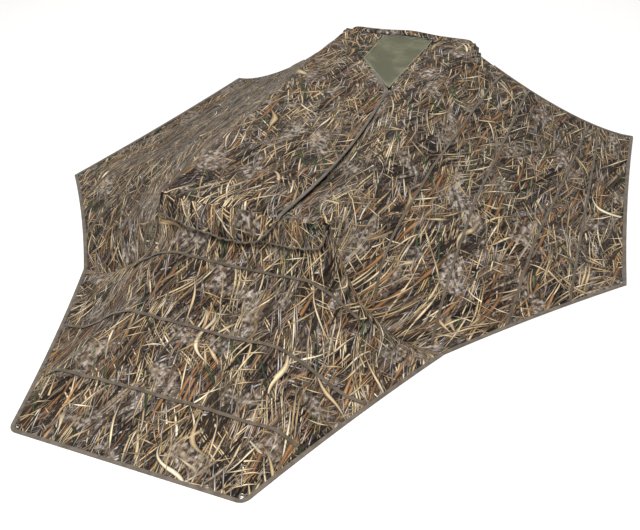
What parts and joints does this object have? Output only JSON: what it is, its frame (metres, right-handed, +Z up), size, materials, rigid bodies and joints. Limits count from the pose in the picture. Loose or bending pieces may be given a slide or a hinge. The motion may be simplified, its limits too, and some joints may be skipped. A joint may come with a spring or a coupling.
{
  "type": "layout field blind",
  "caption": "Low camouflage layout blind with spread skirts, reclining backrest, sprung overlapping doors and a mesh face window.",
  "frame": {"origin": "on the ground under the middle of the blind's footprint", "axes": "+X to the occupant's left as they lie facing up with feet towards -Y, +Y towards the head end, +Z up"},
  "size_m": [2.17, 2.4, 0.3905],
  "materials": {
    "camo_cloth": "matte printed woven polyester, reed and grass pattern",
    "binding_tape": "matte woven tape",
    "webbing": "matte woven webbing",
    "mesh_net": "fine open net, matte",
    "floor_cloth": "coated matte cloth",
    "pad_cloth": "matte padded cloth",
    "frame_tube": "satin drawn tube",
    "spring_wire": "plain wire",
    "grommet_metal": "gunmetal plated",
    "bracket_plastic": "moulded nylon"
  },
  "bodies": {
    "frame": {"foot_cover": "camo_cloth", "left_skirt": "camo_cloth", "right_skirt": "camo_cloth", "rear_panel": "camo_cloth", "hood_band": "camo_cloth", "hem_binding": "binding_tape", "foot_stubble_straps": "webbing", "left_stubble_straps": "webbing", "right_stubble_straps": "webbing", "floor_sheet": "floor_cloth", "seat_pad": "pad_cloth", "base_rail_left": "frame_tube", "base_rail_right": "frame_tube", "foot_cross_tube": "frame_tube", "seat_cross_tube": "frame_tube", "head_cross_tube": "frame_tube", "toe_bar": "frame_tube", "knee_hoop": "frame_tube", "front_hoop": "frame_tube", "head_hoop": "frame_tube", "hinge_rail_left": "frame_tube", "hinge_rail_right": "frame_tube", "screen_rod": "frame_tube", "grommets": "grommet_metal", "corner_elbows": "bracket_plastic", "frame_brackets": "bracket_plastic", "shoulder_clamps": "bracket_plastic", "hand_knobs": "bracket_plastic", "tube_end_caps": "bracket_plastic", "screen_rod_clips": "bracket_plastic", "recline_brackets": "bracket_plastic"},
    "left_door": {"left_bail": "frame_tube", "left_door_panel": "camo_cloth", "left_door_flap": "camo_cloth", "left_door_lip": "camo_cloth", "left_door_binding": "binding_tape", "left_hinge_collars": "bracket_plastic", "left_door_springs": "spring_wire", "left_pull_strap": "webbing"},
    "right_door": {"right_bail": "frame_tube", "right_door_panel": "camo_cloth", "right_door_lip": "camo_cloth", "right_door_binding": "binding_tape", "right_hinge_collars": "bracket_plastic", "right_door_springs": "spring_wire", "right_pull_strap": "webbing"},
    "face_screen": {"screen_mesh": "mesh_net", "screen_border": "binding_tape"},
    "backrest": {"recline_arms": "bracket_plastic", "backrest_left_tube": "frame_tube", "backrest_right_tube": "frame_tube", "backrest_top_tube": "frame_tube", "backrest_corners": "bracket_plastic", "backrest_sling": "pad_cloth"},
    "headrest": {"headrest_pad": "pad_cloth", "headrest_strap": "webbing"}
  },
  "joints": [
    {"name": "left_door_hinge", "type": "hinge", "parent": "frame", "child": "left_door", "pos_m": [-0.275, 0.3, 0.352], "axis": [0, -1, 0], "range_deg": [0, 90]},
    {"name": "right_door_hinge", "type": "hinge", "parent": "frame", "child": "right_door", "pos_m": [0.275, 0.3, 0.352], "axis": [0, 1, 0], "range_deg": [0, 90], "deforming": ["left_door_flap", "left_door_binding"]},
    {"name": "face_screen_hinge", "type": "hinge", "parent": "frame", "child": "face_screen", "pos_m": [0, 1.022, 0.384], "axis": [-1, 0, 0], "range_deg": [0, 120]},
    {"name": "backrest_recline", "type": "hinge", "parent": "frame", "child": "backrest", "pos_m": [0, 0.145, 0.052], "axis": [1, 0, 0], "range_deg": [-10, 4]},
    {"name": "headrest_slide", "type": "slide", "parent": "backrest", "child": "headrest", "axis": [0, 0.9563, 0.2924], "range_m": [-0.06, 0.018]}
  ]
}
